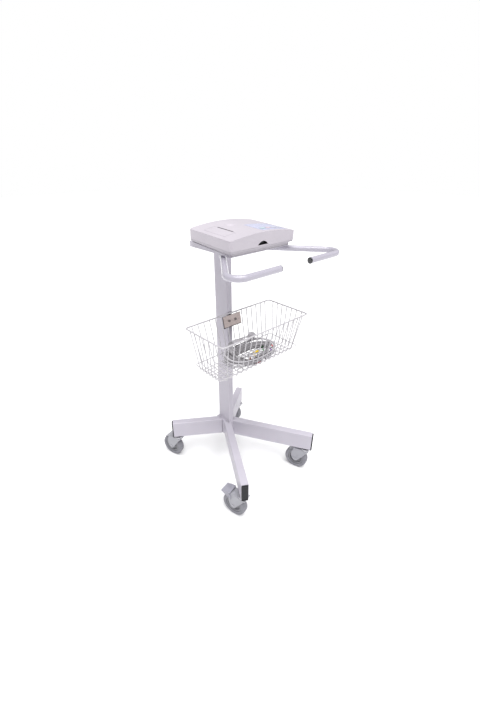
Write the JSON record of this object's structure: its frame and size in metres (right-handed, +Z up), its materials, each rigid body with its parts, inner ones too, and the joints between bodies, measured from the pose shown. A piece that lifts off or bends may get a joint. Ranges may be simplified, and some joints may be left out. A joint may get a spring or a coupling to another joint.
{
  "type": "ecg machine on a trolley",
  "caption": "Compact ECG recorder with paper printer on a rolling trolley: tall column, splayed legs on swivel casters, bent handles, wire basket with coiled patient cable.",
  "frame": {"origin": "middle of the bounding box on the floor", "axes": "+Z up; -Y is the side where the user stands and where the handles point; +X is to the right of a user facing the machine"},
  "size_m": [0.4656, 0.5618, 1.0424],
  "materials": {
    "frame_paint": "satin powder coat",
    "handle_metal": "satin silver-grey coat",
    "black_plastic": "fine matt",
    "zinc": "zinc plated",
    "basket_coat": "white coat on wire",
    "stainless": "brushed stainless",
    "caster_grey": "satin",
    "tyre_grey": "matt rubber",
    "shell_plastic": "fine satin",
    "black_rubber": "matt",
    "paper": "smooth",
    "board": "solder resist",
    "battery_wrap": "shrink wrap",
    "panel_blue": "satin film",
    "key_green": "satin",
    "key_red": "satin",
    "key_grey": "satin",
    "cable": "soft sheath"
  },
  "bodies": {
    "trolley": {"base_hub": "frame_paint", "leg_front_left": "frame_paint", "leg_front_right": "frame_paint", "leg_rear_left": "frame_paint", "leg_rear_right": "frame_paint", "leg_caps": "black_plastic", "column": "frame_paint", "column_bolts": "zinc", "head_plate": "frame_paint", "tray": "frame_paint", "underframe_screws": "zinc", "handle_left": "handle_metal", "handle_right": "handle_metal", "handle_caps": "black_plastic", "handle_saddles": "zinc", "basket_rim": "basket_coat", "basket_back": "basket_coat", "basket_front": "basket_coat", "basket_left": "basket_coat", "basket_right": "basket_coat", "basket_floor": "basket_coat", "basket_clamp_plate": "stainless", "basket_wedge": "zinc", "basket_screws": "zinc", "caster_stems": "zinc", "lower_case": "shell_plastic", "upper_shell": "shell_plastic", "recorder_feet": "black_rubber", "print_head": "black_plastic", "circuit_board": "board", "battery_pack": "battery_wrap", "power_supply": "stainless", "key_panel": "panel_blue", "patient_socket": "black_plastic", "mains_inlet": "black_plastic", "patient_cable_coil": "cable", "cable_yoke": "cable", "cable_plug": "cable"},
    "caster_front_left": {"fork_front_left": "caster_grey"},
    "rolling_front_left": {"wheel_front_left": "caster_grey", "tyre_front_left": "tyre_grey"},
    "brake_front_left": {"pedal_front_left": "caster_grey"},
    "caster_front_right": {"fork_front_right": "caster_grey"},
    "rolling_front_right": {"wheel_front_right": "caster_grey", "tyre_front_right": "tyre_grey"},
    "caster_rear_left": {"fork_rear_left": "caster_grey"},
    "rolling_rear_left": {"wheel_rear_left": "caster_grey", "tyre_rear_left": "tyre_grey"},
    "caster_rear_right": {"fork_rear_right": "caster_grey"},
    "rolling_rear_right": {"wheel_rear_right": "caster_grey", "tyre_rear_right": "tyre_grey"},
    "brake_rear_right": {"pedal_rear_right": "caster_grey"},
    "door": {"paper_door": "shell_plastic"},
    "roll": {"paper_roll": "paper"},
    "platen": {"platen_roller": "black_rubber"},
    "button_start": {"key_start": "key_green"},
    "button_stop": {"key_stop": "key_red"},
    "button_mode": {"key_mode": "key_grey"},
    "button_power": {"key_power": "key_grey"},
    "rocker": {"mains_switch": "black_plastic"}
  },
  "joints": [
    {"name": "swivel_front_left", "type": "hinge", "parent": "trolley", "child": "caster_front_left", "pos_m": [-0.18571, -0.25219, 0.11], "axis": [0, 0, 1], "continuous": true},
    {"name": "roll_front_left", "type": "hinge", "parent": "caster_front_left", "child": "rolling_front_left", "pos_m": [-0.19426, -0.21517, 0.05], "axis": [-0.9744, -0.225, 0], "continuous": true},
    {"name": "press_pedal_front_left", "type": "hinge", "parent": "caster_front_left", "child": "brake_front_left", "pos_m": [-0.19696, -0.20347, 0.088], "axis": [-0.9744, -0.225, 0], "range_deg": [0, 18]},
    {"name": "swivel_front_right", "type": "hinge", "parent": "trolley", "child": "caster_front_right", "pos_m": [0.18571, -0.25219, 0.11], "axis": [0, 0, 1], "continuous": true},
    {"name": "roll_front_right", "type": "hinge", "parent": "caster_front_right", "child": "rolling_front_right", "pos_m": [0.1746, -0.21585, 0.05], "axis": [-0.9563, -0.2924, 0], "continuous": true},
    {"name": "swivel_rear_left", "type": "hinge", "parent": "trolley", "child": "caster_rear_left", "pos_m": [-0.18196, 0.18801, 0.11], "axis": [0, 0, 1], "continuous": true},
    {"name": "roll_rear_left", "type": "hinge", "parent": "caster_rear_left", "child": "rolling_rear_left", "pos_m": [-0.19307, 0.22435, 0.05], "axis": [-0.9563, -0.2924, 0], "continuous": true},
    {"name": "swivel_rear_right", "type": "hinge", "parent": "trolley", "child": "caster_rear_right", "pos_m": [0.18196, 0.18801, 0.11], "axis": [0, 0, 1], "continuous": true},
    {"name": "roll_rear_right", "type": "hinge", "parent": "caster_rear_right", "child": "rolling_rear_right", "pos_m": [0.17085, 0.22435, 0.05], "axis": [-0.9563, -0.2924, 0], "continuous": true},
    {"name": "press_pedal_rear_right", "type": "hinge", "parent": "caster_rear_right", "child": "brake_rear_right", "pos_m": [0.16734, 0.23582, 0.088], "axis": [-0.9563, -0.2924, 0], "range_deg": [0, 18]},
    {"name": "open_paper_door", "type": "hinge", "parent": "trolley", "child": "door", "pos_m": [-0.118, -0.04335, 1.02643], "axis": [0, -0.9984, -0.0558], "range_deg": [0, 95]},
    {"name": "turn_paper_roll", "type": "hinge", "parent": "trolley", "child": "roll", "pos_m": [-0.103, -0.04008, 1.00368], "axis": [0, 0.9984, 0.0558], "continuous": true},
    {"name": "turn_platen", "type": "hinge", "parent": "trolley", "child": "platen", "pos_m": [-0.08, -0.04111, 1.02215], "axis": [0, 0.9984, 0.0558], "continuous": true},
    {"name": "press_start", "type": "slide", "parent": "trolley", "child": "button_start", "axis": [0, 0.0558, -0.9984], "range_m": [0, 0.0008], "stiffness_N_per_m": 300, "springref_m": -0.002},
    {"name": "press_stop", "type": "slide", "parent": "trolley", "child": "button_stop", "axis": [0, 0.0558, -0.9984], "range_m": [0, 0.0008], "stiffness_N_per_m": 300, "springref_m": -0.002},
    {"name": "press_mode", "type": "slide", "parent": "trolley", "child": "button_mode", "axis": [0, 0.0558, -0.9984], "range_m": [0, 0.0008], "stiffness_N_per_m": 300, "springref_m": -0.002},
    {"name": "press_power", "type": "slide", "parent": "trolley", "child": "button_power", "axis": [0, 0.0558, -0.9984], "range_m": [0, 0.0008], "stiffness_N_per_m": 300, "springref_m": -0.002},
    {"name": "flip_mains_switch", "type": "hinge", "parent": "trolley", "child": "rocker", "pos_m": [0.096, 0.05785, 1.01216], "axis": [-1, 0, 0], "range_deg": [0, 13]}
  ],
  "couplings": [
    {"joint": "turn_platen", "follows": "turn_paper_roll", "ratio": 2.8333}
  ]
}
